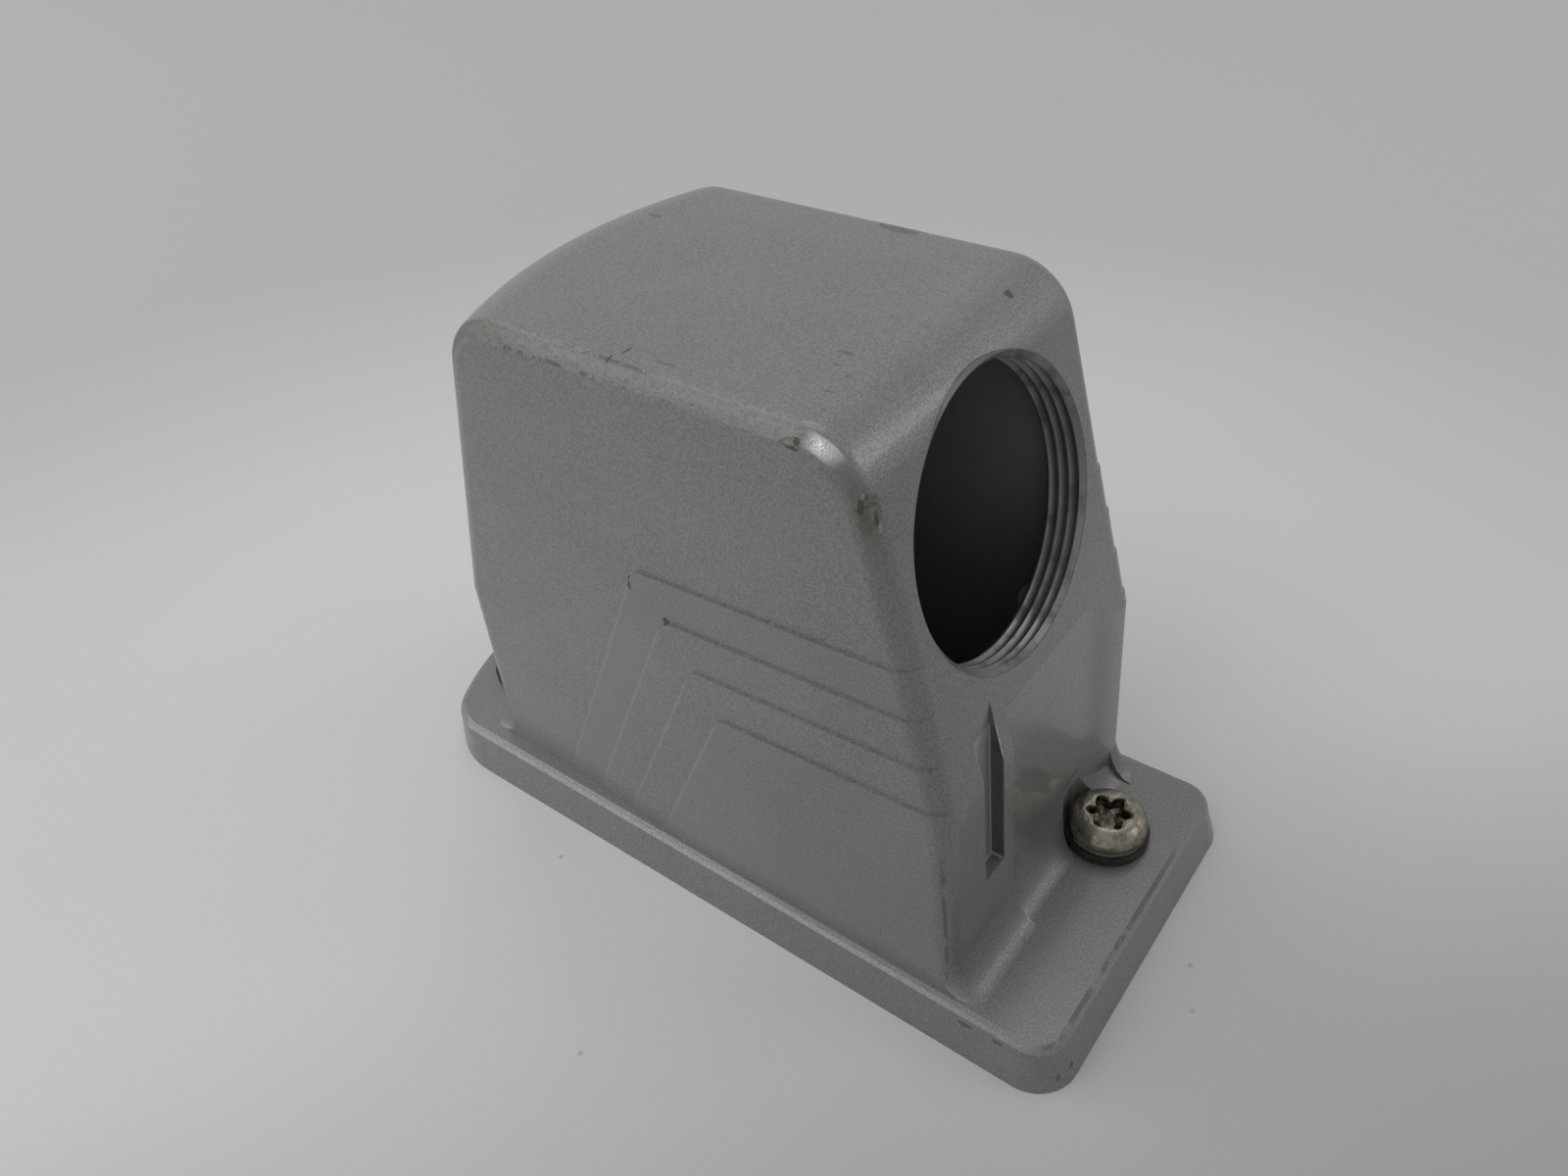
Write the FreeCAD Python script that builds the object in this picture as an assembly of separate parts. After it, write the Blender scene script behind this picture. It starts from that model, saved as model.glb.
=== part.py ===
"""Hood of a heavy rectangular connector: die-cast body on a flange, sloped entry, captive screws and seal.

Millimetres. X runs along the hood with the cable entry at +X, Y across, Z up from the sealing plane.
The origin is the middle of the flange's outline in the sealing plane.
"""
import os
import math
import FreeCAD
import Part

Vector = FreeCAD.Vector
Y_AXIS = Vector(0, 1, 0)
Z_AXIS = Vector(0, 0, 1)

# Flange
flange_length = 131.0
flange_width = 59.2
flange_height = 7.2
flange_lean = 2.0
flange_end_radius = 50.0
flange_front_corner = 6.5
flange_rear_corner_low = 17.0
flange_rear_corner_high = 11.5
flange_rim_radius = 1.4
flange_rim_bands = 3

# Body on the flange
body_height = 92.4
nose_height = 41.5
front_ledge = 18.9
rear_ledge = 19.8
body_half_width = 24.6
slope_angle = 13.9
wall_draft = 2.3
rear_bow_radius = 70.0
top_end_radius = 9.5
nose_edge_radius = 2.0
body_edge_radius = 2.8

# Broad hollow between the end walls and the flange
foot_run = 4.6
foot_rise = 9.0
foot_bands = 5
foot_tuck = 0.3

# Raised steps on both long sides
step_count = 4
step_rise = 0.4
step_corner_run = 48.5
step_corner_z = 61.7
step_pitch_x = 4.15
step_pitch_z = 6.75
step_slant = 25.5
step_tilt = 3.0
step_corner_radius = 2.5

# Walls of the casting
side_wall = 3.2
rear_wall = 3.2
top_wall = 3.4
entry_wall = 4.2
inner_crown_chamfer = 5.0
inner_plan_radius = 2.0

# Cable entry
entry_radius = 20.0
entry_height = 70.3

# Pillar, pocket and hollow on the front wall below the slope
pocket_near_y = -17.0
pocket_far_y = -12.0
pocket_depth = 2.0
pocket_floor_z = 22.5
hollow_start_y = -9.4
hollow_end_y = 13.0
hollow_fade = 9.0
hollow_depth = 1.3

# Locking screws
screw_front_inset = 12.7
screw_rear_inset = 13.7
screw_offset_y = 11.0
screw_thread_radius = 3.0
screw_neck_radius = 2.35
screw_thread_length = 2.4
screw_tip_gap = 0.3
screw_lift = 2.3
screw_head_radius = 6.0
screw_head_height = 3.6
screw_head_edge = 1.0
screw_crown_radius = 3.4
screw_head_bands = 2
drive_radius = 3.1
drive_depth = 2.2
drive_sides = 6
core_clearance = 0.25
thread_clearance = 0.3
ring_radius = 6.4
ring_height = 1.3
ring_clearance = 0.1
seat_gap = 0.15
driver_clearance = 0.4
driver_relief_top = 17.0
driver_relief_chamfer = 3.0

# Insert fixing posts
post_front_inset = 7.35
post_rear_inset = 7.45
post_spacing_y = 27.0
post_radius = 4.2
post_seat_z = 14.0
post_top_z = 47.0
post_thread_radius = 1.65
post_thread_depth = 12.0

# Seal in the flange's underside
seal_land = 1.4
seal_width = 3.0
seal_depth = 2.6
seal_clearance = 0.1

slope_run = math.tan(math.radians(slope_angle))
draft_run = math.tan(math.radians(wall_draft))
flange_end = flange_length / 2
body_front = flange_end - front_ledge
body_rear = rear_ledge - flange_end
rear_bow_x = body_rear + rear_bow_radius
front_cut_top = (body_height + nose_height) / 2
screw_positions = {
    "front": (flange_end - screw_front_inset, screw_offset_y),
    "rear": (screw_rear_inset - flange_end, -screw_offset_y),
}
reach = 300.0
cut_over = 1.0


def polygon(points):
    """Closed face through points."""
    return Part.Face(Part.makePolygon(points + [points[0]]))


def prism_along_y(points, y_low, y_high):
    """Solid with an outline of (x, z) points, from y_low to y_high."""
    face = polygon([Vector(x, y_low, z) for x, z in points])
    return face.extrude(Vector(0, y_high - y_low, 0))


def turned(points, centre_x):
    """Solid turned about the upright line at centre_x from (x, z) points."""
    face = polygon([Vector(x, 0, z) for x, z in points])
    return face.revolve(Vector(centre_x, 0, 0), Z_AXIS, 360)


def upright_cylinder(x, y, radius, z_low, z_high):
    return Part.makeCylinder(radius, z_high - z_low, Vector(x, y, z_low))


def rounded(shape, radius, picks):
    """Shape with the edges that picks accepts rounded."""
    edges = [edge for edge in shape.Edges if picks(edge)]
    return shape.makeFillet(radius, edges)


def chamfered(shape, width, picks):
    """Shape with the edges that picks accepts chamfered."""
    edges = [edge for edge in shape.Edges if picks(edge)]
    return shape.makeChamfer(width, edges)


def at_height(z):
    """Accepts edges that lie level at height z."""
    return lambda edge: abs(edge.BoundBox.ZMin - z) < 0.01 and abs(edge.BoundBox.ZMax - z) < 0.01


def climbs(edge):
    return edge.BoundBox.ZLength > 0.01


def wall_x(nose_x, z, sign):
    """Where an end wall stands at height z: sign is +1 at the front and -1 at the rear."""
    if z < nose_height:
        return nose_x + sign * (nose_height - z) * draft_run
    return nose_x - sign * (z - nose_height) * slope_run


def front_form(front, bottom, top):
    """Form that is straight across, with the front wall's draft below and slope above."""
    return prism_along_y([(-reach, bottom), (wall_x(front, bottom, 1), bottom), (front, nose_height),
                          (wall_x(front, top, 1), top), (-reach, top)], -reach, reach)


def rear_form(rear, bottom, top):
    """Form that is bowed in plan, with the rear wall's draft below and slope above."""
    return turned([(rear_bow_x, bottom), (wall_x(rear, bottom, -1), bottom), (rear, nose_height),
                   (wall_x(rear, top, -1), top), (rear_bow_x, top)], rear_bow_x)


def within(front_part, rear_part, half_width, bottom, top):
    """What lies inside both end forms and between the long sides."""
    ahead = Part.makeBox(reach, 2 * reach, top - bottom, Vector(rear_bow_x, -reach, bottom))
    slab = Part.makeBox(2 * reach, 2 * half_width, top - bottom, Vector(-reach, -half_width, bottom))
    return front_part.common(slab).common(rear_part.fuse(ahead))


def front_crown(top):
    """Accepts the straight level edge between the top and the front slope."""
    return lambda edge: at_height(top)(edge) and edge.BoundBox.XMin > -reach / 2


def body_block(half_width):
    """Outside of the body above the sealing plane with rounded crowns and rounded long sides."""
    front_part = rounded(front_form(body_front, 0, body_height), top_end_radius, front_crown(body_height))
    front_part = rounded(front_part, nose_edge_radius, at_height(nose_height))
    rear_part = rounded(rear_form(body_rear, 0, body_height), top_end_radius, at_height(body_height))
    block = within(front_part, rear_part, half_width, 0, body_height)

    def on_side(edge):
        middle = edge.valueAt((edge.FirstParameter + edge.LastParameter) / 2)
        return half_width - abs(middle.y) < 0.01 and edge.BoundBox.ZMax > 0.01
    return rounded(block, body_edge_radius, on_side)


def plan_prism(front, rear, bow_x, half_width, front_corner, rear_corner, z_low, z_high):
    """Upright block with straight front and sides, a rear end bowed about bow_x and rounded corners."""
    end_x = bow_x - math.sqrt((bow_x - rear) ** 2 - half_width ** 2)
    corners = [Vector(end_x, -half_width, z_low), Vector(front, -half_width, z_low),
               Vector(front, half_width, z_low), Vector(end_x, half_width, z_low)]
    bow = Part.Arc(corners[3], Vector(rear, 0, z_low), corners[0]).toShape()
    outline = Part.Wire(Part.makePolygon(corners).Edges + [bow])
    block = Part.Face(outline).extrude(Vector(0, 0, z_high - z_low))
    block = rounded(block, front_corner, lambda edge: climbs(edge) and abs(edge.BoundBox.XMin - front) < 0.01)
    return rounded(block, rear_corner, lambda edge: climbs(edge) and abs(edge.BoundBox.XMin - end_x) < 0.01)


def flange_profile():
    """Pairs of inset and height up the flange's side, which leans in and then rounds off in bands."""
    rim_low = flange_height - flange_rim_radius
    rim_inset = flange_lean * rim_low / flange_height
    pairs = [(0, 0)]
    for index in range(flange_rim_bands + 1):
        angle = math.pi / 2 * index / flange_rim_bands
        inset = rim_inset + flange_rim_radius * (1 - math.cos(angle))
        pairs.append((inset, rim_low + flange_rim_radius * math.sin(angle)))
    return pairs


def plan_outline(front, rear, bow_x, half_width, front_corner, rear_corner, z):
    """Wire of the plan at height z."""
    block = plan_prism(front, rear, bow_x, half_width, front_corner, rear_corner, z, z + cut_over)
    bottom = [face for face in block.Faces if at_height(z)(face)]
    return bottom[0].OuterWire


def flange_block():
    """Flange lofted through plan outlines: a straight front end, a bowed rear end, rounder rear corners."""
    half_width = flange_width / 2
    bow_x = flange_end_radius - flange_end
    outlines = []
    for inset, z in flange_profile():
        rise = z / flange_height
        corner_growth = (flange_rear_corner_high - flange_rear_corner_low) * rise
        rear_corner = flange_rear_corner_low + corner_growth - inset
        outlines.append(plan_outline(flange_end - inset, inset - flange_end, bow_x, half_width - inset,
                                     flange_front_corner - inset, rear_corner, z))
    return Part.makeLoft(outlines, True, True)


def foot_curve():
    """Pairs of distance out from the wall and height, from the fillet's toe up to its end in the wall."""
    pairs = []
    for index in range(foot_bands + 1):
        angle = math.pi / 2 * index / foot_bands
        out = foot_run * (1 - math.sin(angle)) - foot_tuck
        pairs.append((out, flange_height + foot_rise * (1 - math.cos(angle))))
    return pairs


def foot(half_width, x_low, x_high):
    """Broad fillets that run the end walls out onto the flange, between two places along the hood."""
    top = flange_height + foot_rise
    front = wall_x(body_front, top, 1)
    rear = wall_x(body_rear, top, -1)
    outlines = []
    for out, z in [(foot_run - foot_tuck, flange_height - cut_over)] + foot_curve():
        outlines.append(plan_outline(front + out, rear - out, rear_bow_x, half_width, body_edge_radius,
                                     body_edge_radius, z))
    span = Part.makeBox(x_high - x_low, 2 * reach, top, Vector(x_low, -reach, 0))
    return Part.makeLoft(outlines, True, True).common(span)


def step_region(index):
    """Prism that bounds one raised step seen from the side: nearly level above, slanted behind."""
    corner_x = body_front - step_corner_run + index * step_pitch_x
    corner_z = step_corner_z - index * step_pitch_z
    foot_x = corner_x - (corner_z + cut_over) * math.tan(math.radians(step_slant))
    front_z = corner_z + (reach - corner_x) * math.tan(math.radians(step_tilt))
    points = [(corner_x, corner_z), (reach, front_z), (reach, -cut_over), (foot_x, -cut_over)]
    prism = prism_along_y(points, -reach, reach)

    def at_corner(edge):
        box = edge.BoundBox
        return abs(box.XMin - corner_x) < 0.01 and abs(box.ZMin - corner_z) < 0.01 and box.YLength > 1
    return rounded(prism, step_corner_radius, at_corner)


def outer_form():
    """Outside of the casting: body, raised steps, foot and flange."""
    form = body_block(body_half_width)
    for index in range(step_count):
        layer = body_block(body_half_width + (index + 1) * step_rise)
        form = form.fuse(layer.common(step_region(index)))
    stepped_half_width = body_half_width + step_count * step_rise
    feet = [foot(stepped_half_width, rear_bow_x, reach), foot(body_half_width, -reach, rear_bow_x)]
    return form.fuse(feet + [flange_block()]).removeSplitter()


def cavity():
    """Inside of the casting, open at the sealing plane."""
    lean = math.cos(math.radians(slope_angle))
    top = body_height - top_wall
    front_part = front_form(body_front - entry_wall / lean, -cut_over, top)
    rear_part = rear_form(body_rear + rear_wall / lean, -cut_over, top)
    front_part = rounded(front_part, top_end_radius - top_wall, front_crown(top))
    rear_part = chamfered(rear_part, inner_crown_chamfer, at_height(top))
    return within(front_part, rear_part, body_half_width - side_wall, -cut_over, top)


def entry_normal():
    angle = math.radians(slope_angle)
    return Vector(math.cos(angle), 0, math.sin(angle))


def entry_centre():
    return Vector(wall_x(body_front, entry_height, 1), 0, entry_height)


def entry_bore():
    """Bore of the cable entry, square to the slope."""
    start = entry_centre() - entry_normal() * 2 * entry_wall
    return Part.makeCylinder(entry_radius, 3 * entry_wall, start, entry_normal())


def wall_cut(depth, bottom):
    """Outline of a cut that lies depth behind the front wall and runs out through the slope above it."""
    floor_low = wall_x(body_front, bottom, 1) - depth
    floor_high = floor_low - (front_cut_top - bottom) * draft_run
    return [(floor_low, bottom), (reach, bottom), (reach, front_cut_top), (floor_high, front_cut_top)]


def front_pocket():
    """Upright pocket between the pillar at the near corner and the rib beside it."""
    return prism_along_y(wall_cut(pocket_depth, pocket_floor_z), pocket_near_y, pocket_far_y)


def front_hollow():
    """Shallow hollow of the front wall round the screw, with its own foot fillet and a faded far end."""
    points = wall_cut(hollow_depth, flange_height)
    face = polygon([Vector(x, hollow_start_y, z) for x, z in points])
    straight = face.extrude(Vector(0, hollow_end_y - hollow_start_y, 0))
    end_face = polygon([Vector(x, hollow_end_y, z) for x, z in points])
    fade = end_face.extrude(Vector(hollow_depth, hollow_fade, 0))
    wall = points[0][0]
    fill_points = [(wall - cut_over, flange_height)] + [(wall + out, z) for out, z in foot_curve()]
    fill_points.append((wall - cut_over, flange_height + foot_rise))
    return straight.fuse(fade).cut(prism_along_y(fill_points, -reach, reach))


def driver_relief(x, y):
    """Round clearance for the ring and the driver beside the wall."""
    radius = ring_radius + driver_clearance
    relief = upright_cylinder(x, y, radius, flange_height, driver_relief_top)
    return chamfered(relief, driver_relief_chamfer, at_height(driver_relief_top))


def screw_hole(x, y):
    """Flange hole: wide for the thread below, narrow round the neck above, so that the screw is held."""
    stop = screw_tip_gap + screw_thread_length + screw_lift + thread_clearance
    wide = upright_cylinder(x, y, screw_thread_radius + thread_clearance, -cut_over, stop)
    narrow = upright_cylinder(x, y, screw_neck_radius + core_clearance, 0, flange_height + cut_over)
    return wide.fuse(narrow)


def post_places():
    ends = (body_front - post_front_inset, body_rear + post_rear_inset)
    return [(x, side * post_spacing_y / 2) for x in ends for side in (-1, 1)]


def fixing_post(x, y):
    """Post that carries one fixing screw of the contact insert, run out into the end wall."""
    return upright_cylinder(x, y, post_radius, post_seat_z, post_top_z)


def seal_outline(outset, z_high):
    """Block with the opening's outline at the sealing plane, grown by outset."""
    front = wall_x(body_front, 0, 1) - entry_wall + outset
    rear = wall_x(body_rear, 0, -1) + rear_wall - outset
    half_width = body_half_width - side_wall + outset
    corner = inner_plan_radius + outset
    return plan_prism(front, rear, rear_bow_x, half_width, corner, corner, 0, z_high)


def seal_ring(slack, height):
    """Seal, or with slack the groove that holds it."""
    inner = seal_outline(seal_land - slack, height)
    outer = seal_outline(seal_land + seal_width + slack, height)
    return outer.cut(inner)


def hood():
    """The casting."""
    form = outer_form()
    form = form.cut(front_pocket()).cut(front_hollow())
    for name in screw_positions:
        form = form.cut(driver_relief(*screw_positions[name]))
    inside = cavity()
    posts = [fixing_post(x, y).common(inside) for x, y in post_places()]
    form = form.cut(inside).fuse(posts)
    cuts = [entry_bore(), seal_ring(seal_clearance, seal_depth + seal_clearance)]
    cuts += [screw_hole(*place) for place in screw_positions.values()]
    for x, y in post_places():
        cuts.append(upright_cylinder(x, y, post_thread_radius, 0, post_seat_z + post_thread_depth))
    return form.cut(cuts).removeSplitter()


def screw_ring(x, y):
    """Flat ring that stays on the screw's neck."""
    low = flange_height + seat_gap
    high = low + ring_height
    ring = upright_cylinder(x, y, ring_radius, low, high)
    hole = upright_cylinder(x, y, screw_neck_radius + ring_clearance, low - cut_over, high + cut_over)
    return ring.cut(hole)


def drive_recess(x, y, z_low, z_high):
    """Six-sided recess of the driver."""
    points = []
    for index in range(drive_sides):
        angle = 2 * math.pi * index / drive_sides
        points.append(Vector(x + drive_radius * math.cos(angle), y + drive_radius * math.sin(angle), z_low))
    return polygon(points).extrude(Vector(0, 0, z_high - z_low))


def locking_screw(x, y):
    """Captive pan-head screw: short thread, waisted neck, domed head."""
    thread_low = screw_tip_gap
    thread_high = thread_low + screw_thread_length
    head_low = flange_height + seat_gap + ring_height + seat_gap
    head_high = head_low + screw_head_height
    edge_high = head_low + screw_head_edge
    points = [(0, thread_low), (screw_thread_radius, thread_low), (screw_thread_radius, thread_high),
              (screw_neck_radius, thread_high), (screw_neck_radius, head_low), (screw_head_radius, head_low)]
    for index in range(screw_head_bands + 1):
        angle = math.pi / 2 * index / screw_head_bands
        radius = screw_crown_radius + (screw_head_radius - screw_crown_radius) * math.cos(angle)
        points.append((radius, edge_high + (head_high - edge_high) * math.sin(angle)))
    points.append((0, head_high))
    face = polygon([Vector(x + radius, y, z) for radius, z in points])
    screw = face.revolve(Vector(x, y, 0), Z_AXIS, 360)
    return screw.cut(drive_recess(x, y, head_high - drive_depth, head_high + cut_over))


def export(name, shape):
    """One valid solid written to its own file."""
    if not shape.isValid() or len(shape.Solids) != 1:
        raise ValueError(f"{name}: {len(shape.Solids)} solids, valid {shape.isValid()}")
    shape.Solids[0].exportStep(f"parts/{name}.step")


os.makedirs("parts", exist_ok=True)
export("hood", hood())
export("profile_seal", seal_ring(0, seal_depth))
for end, place in screw_positions.items():
    export(f"{end}_screw", locking_screw(*place))
    export(f"{end}_screw_ring", screw_ring(*place))
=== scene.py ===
import math
import bpy
import bmesh
from mathutils import Matrix, Vector


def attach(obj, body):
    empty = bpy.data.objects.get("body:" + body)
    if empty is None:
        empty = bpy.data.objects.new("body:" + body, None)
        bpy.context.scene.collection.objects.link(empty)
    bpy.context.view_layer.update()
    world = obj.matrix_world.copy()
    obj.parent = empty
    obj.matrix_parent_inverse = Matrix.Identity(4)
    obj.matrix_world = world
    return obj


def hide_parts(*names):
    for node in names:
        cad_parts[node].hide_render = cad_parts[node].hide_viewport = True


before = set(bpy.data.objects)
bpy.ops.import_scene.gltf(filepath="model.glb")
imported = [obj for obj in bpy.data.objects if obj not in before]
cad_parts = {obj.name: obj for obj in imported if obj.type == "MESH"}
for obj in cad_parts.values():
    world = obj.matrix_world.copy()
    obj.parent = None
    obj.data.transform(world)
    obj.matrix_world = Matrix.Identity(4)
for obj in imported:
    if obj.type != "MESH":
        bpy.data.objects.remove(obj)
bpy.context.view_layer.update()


# The hood is one aluminium die-casting: a body with a sloped cable entry standing on a flange.
# It is sprayed with silver-grey metallic paint, which is rubbed through along the top edges and chipped
# in a few places. The inside is given a dark, dull finish as painted shade.
class NodeBench:
    """Short ways to place nodes in one tree; a value is a socket or a plain number, vector or colour."""

    def __init__(self, tree, place):
        self.tree = tree
        self.place = place

    def node(self, kind, **settings):
        """A new node of this kind with these settings."""
        made = self.tree.nodes.new("ShaderNode" + kind)
        for name, value in settings.items():
            setattr(made, name, value)
        return made

    def feed(self, socket, value):
        """Link a socket in, or set the plain value."""
        if isinstance(value, bpy.types.NodeSocket):
            self.tree.links.new(value, socket)
        elif socket.type == "RGBA":
            socket.default_value = (*value, 1.0)
        else:
            socket.default_value = value

    def math(self, operation, *values, clamp=False):
        """Output of a Math node."""
        node = self.node("Math", operation=operation, use_clamp=clamp)
        for socket, value in zip(node.inputs, values):
            self.feed(socket, value)
        return node.outputs[0]

    def product(self, first, *others):
        """All the values multiplied."""
        for other in others:
            first = self.math("MULTIPLY", first, other)
        return first

    def largest(self, first, *others):
        """The largest of the values."""
        for other in others:
            first = self.math("MAXIMUM", first, other)
        return first

    def vector(self, operation, *values):
        """Output of a Vector Math node, which is a number for a length or a distance."""
        node = self.node("VectorMath", operation=operation)
        for socket, value in zip(node.inputs, values):
            self.feed(socket, value)
        return node.outputs["Value" if operation in ("LENGTH", "DISTANCE") else "Vector"]

    def scaled(self, vector, share):
        """Vector times a number."""
        node = self.node("VectorMath", operation="SCALE")
        self.feed(node.inputs[0], vector)
        self.feed(node.inputs["Scale"], share)
        return node.outputs["Vector"]

    def split(self, vector):
        """The X, Y and Z of a vector."""
        node = self.node("SeparateXYZ")
        self.feed(node.inputs[0], vector)
        return node.outputs

    def combined(self, x=0.0, y=0.0, z=0.0):
        """Vector made of X, Y and Z."""
        node = self.node("CombineXYZ")
        for socket, value in zip(node.inputs, (x, y, z)):
            self.feed(socket, value)
        return node.outputs["Vector"]

    def noise(self, scale, detail=2.0, roughness=0.5):
        """Noise with this many waves per metre."""
        node = self.node("TexNoise")
        names = ("Vector", "Scale", "Detail", "Roughness")
        for name, value in zip(names, (self.place, scale, detail, roughness)):
            self.feed(node.inputs[name], value)
        return node.outputs["Fac"]

    def ramp(self, value, low, high, to_low=0.0, to_high=1.0):
        """Value taken from low..high to to_low..to_high with a smooth step."""
        node = self.node("MapRange", interpolation_type="SMOOTHSTEP")
        names = ("Value", "From Min", "From Max", "To Min", "To Max")
        for name, given in zip(names, (value, low, high, to_low, to_high)):
            self.feed(node.inputs[name], given)
        return node.outputs["Result"]

    def band(self, value, start, full, still_full, end):
        """Mask that is 1 from full to still_full, and 0 before start and past end."""
        return self.product(self.ramp(value, start, full), self.ramp(value, end, still_full))

    def mixed(self, kind, factor, first, second):
        """Value between first and second, of the kind RGBA, FLOAT or VECTOR."""
        node = self.node("Mix", data_type=kind)
        for name, value in (("Factor", factor), ("A", first), ("B", second)):
            self.feed(node.inputs[name], value)
        return node.outputs["Result"]

    def tinted(self, colour, mask, share, tint):
        """Colour taken towards tint by this share of a mask."""
        return self.mixed("RGBA", self.product(mask, share), colour, tint)

    def placed(self, group, **values):
        """Mask of an effect group placed here; underscores in the names stand for spaces."""
        node = self.node("Group", node_tree=group)
        for name, value in values.items():
            self.feed(node.inputs[name.replace("_", " ")], value)
        return node.outputs["Mask"]


class Finish(NodeBench):
    """A new material on Object coordinates, whose shader starts with these plain values."""

    def __init__(self, name, base, roughness, metallic):
        self.material = bpy.data.materials.new(name)
        self.material.use_nodes = True
        tree = self.material.node_tree
        coordinates = tree.nodes.new("ShaderNodeTexCoord")
        super().__init__(tree, coordinates.outputs["Object"])
        self.facing = coordinates.outputs["Normal"]
        self.shader = tree.nodes["Principled BSDF"]
        self.show("Base Color", base)
        self.show("Roughness", roughness)
        self.show("Metallic", metallic)

    def show(self, name, value):
        """Give one of the shader's sockets a value."""
        self.feed(self.shader.inputs[name], value)

    def raised(self, height, normal=None):
        """Let the shader show a relief of this height in metres."""
        bump = self.node("Bump")
        bump.inputs["Strength"].default_value = 1.0
        bump.inputs["Distance"].default_value = 1.0
        self.feed(bump.inputs["Height"], height)
        if normal is not None:
            self.feed(bump.inputs["Normal"], normal)
        self.show("Normal", bump.outputs["Normal"])


def effect_group(name, **inputs):
    """Empty group that puts out a mask, its input sockets by name, and its output node."""
    group = bpy.data.node_groups.new(name, "ShaderNodeTree")
    for label, value in inputs.items():
        kind = "NodeSocketFloat" if isinstance(value, float) else "NodeSocketVector"
        made = group.interface.new_socket(name=label.replace("_", " "), in_out="INPUT", socket_type=kind)
        made.default_value = value
    group.interface.new_socket(name="Mask", in_out="OUTPUT", socket_type="NodeSocketFloat")
    given = group.nodes.new("NodeGroupInput").outputs
    return group, given, group.nodes.new("NodeGroupOutput").inputs["Mask"]


# A worn spot is a patch round a centre, with a ragged edge.
spot_border = (1.15, 0.85)
spot_wander = 6.0
noise_mean = 0.5
worn_spot, spot_given, spot_mask = effect_group(
    "worn_spot", Place=(0.0, 0.0, 0.0), Centre=(0.0, 0.0, 0.0), Half_Size=(0.001, 0.001, 0.001),
    Raggedness=0.5, Grain=900.0)
spot = NodeBench(worn_spot, spot_given["Place"])
spot_offset = spot.vector("SUBTRACT", spot.place, spot_given["Centre"])
spot_radius = spot.vector("LENGTH", spot.vector("DIVIDE", spot_offset, spot_given["Half Size"]))
spot_noise = spot.math("SUBTRACT", spot.noise(spot_given["Grain"], detail=4.0), noise_mean)
spot_wobble = spot.product(spot_noise, spot_given["Raggedness"], spot_wander)
spot.feed(spot_mask, spot.ramp(spot.math("ADD", spot_radius, spot_wobble), *spot_border))

# Rubbed edges follow the rounded long edges: the mask is strongest where the surface faces halfway between
# the long side and the top or the end walls.
rub_depth = 0.35
rub_wander = 0.3
rubbed_edge, rub_given, rub_mask = effect_group(
    "rubbed_edge", Place=(0.0, 0.0, 0.0), Facing=(0.0, 0.0, 0.0), Reach=0.5, Grain=500.0)
rub = NodeBench(rubbed_edge, rub_given["Place"])
rub_side = rub.math("ABSOLUTE", rub.split(rub_given["Facing"])["Y"])
rub_end = rub.math("SQRT", rub.math("SUBTRACT", 1.0, rub.product(rub_side, rub_side), clamp=True))
rub_turn = rub.product(rub_side, rub_end, 2.0)
rub_noise = rub.math("SUBTRACT", rub.noise(rub_given["Grain"], detail=5.0, roughness=0.65), noise_mean)
rub_sum = rub.math("ADD", rub_turn, rub.product(rub_noise, rub_wander))
rub_level = rub.math("SUBTRACT", rub_sum, rub.math("SUBTRACT", 1.0, rub_given["Reach"]))
rub.feed(rub_mask, rub.ramp(rub_level, 0.0, rub_depth))

paint = Finish("hood_metallic_paint", base=(0.2, 0.202, 0.2), roughness=0.46, metallic=0.55)
place_x, place_y, place_z = paint.split(paint.place)
facing_x, facing_y, facing_z = paint.split(paint.facing)

# The paint's own look: fine metal flakes and broad clouds of grey. Low on the front it is darkened with
# painted shade.
cloud_dark = (0.163, 0.165, 0.16)
cloud_pale = (0.188, 0.19, 0.184)
flake_pale = (0.3, 0.302, 0.295)
flake_share = 0.6
low_front_shade_along = (-0.015, 0.040)
low_front_shade_height = (0.060, 0.020)
low_front_shade_colour = (0.1, 0.1, 0.095)
low_front_shade_share = 0.2
noise_middle = (0.3, 0.7)
flakes = paint.ramp(paint.noise(scale=3200.0, detail=1.0, roughness=0.6), *noise_middle)
clouds = paint.ramp(paint.noise(scale=45.0, detail=4.0, roughness=0.6), *noise_middle)
low_front_shade = paint.product(paint.ramp(place_x, *low_front_shade_along), paint.ramp(place_z, *low_front_shade_height))
paint_colour = paint.mixed("RGBA", clouds, cloud_dark, cloud_pale)
paint_colour = paint.tinted(paint_colour, flakes, flake_share, flake_pale)
paint_colour = paint.tinted(paint_colour, low_front_shade, low_front_shade_share, low_front_shade_colour)

# The top edges are rubbed to a dull greenish grey with dirt in the pores; the near one is worn the most.
top_edge_height = (0.074, 0.086)
near_half = (0.0, -0.01)
near_edge_share = 0.8
other_edge_share = 0.35
top_edge = paint.product(
    paint.placed(rubbed_edge, Place=paint.place, Facing=paint.facing, Reach=0.45, Grain=260.0),
    paint.ramp(place_z, *top_edge_height))
near_edge = paint.product(top_edge, paint.ramp(place_y, *near_half))
rubbed = paint.largest(paint.product(near_edge, near_edge_share), paint.product(top_edge, other_edge_share))
corner_grime_along = (-0.0120, -0.0220)
corner_grime = paint.product(near_edge, paint.ramp(place_x, *corner_grime_along))

# Where the near edge meets the front crown it's polished to bare metal, and painted bright there as a
# highlight.
polish_x = 0.0306
polish_reach = (0.0030, 0.0004)
polish_height = (0.0888, 0.0906)
polish_wear = (0.35, 0.95)
polish_off = paint.math("ABSOLUTE", paint.math("SUBTRACT", place_x, polish_x))
polished_glint = paint.product(paint.ramp(near_edge, *polish_wear), paint.ramp(polish_off, *polish_reach),
                         paint.ramp(place_z, *polish_height))

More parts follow.
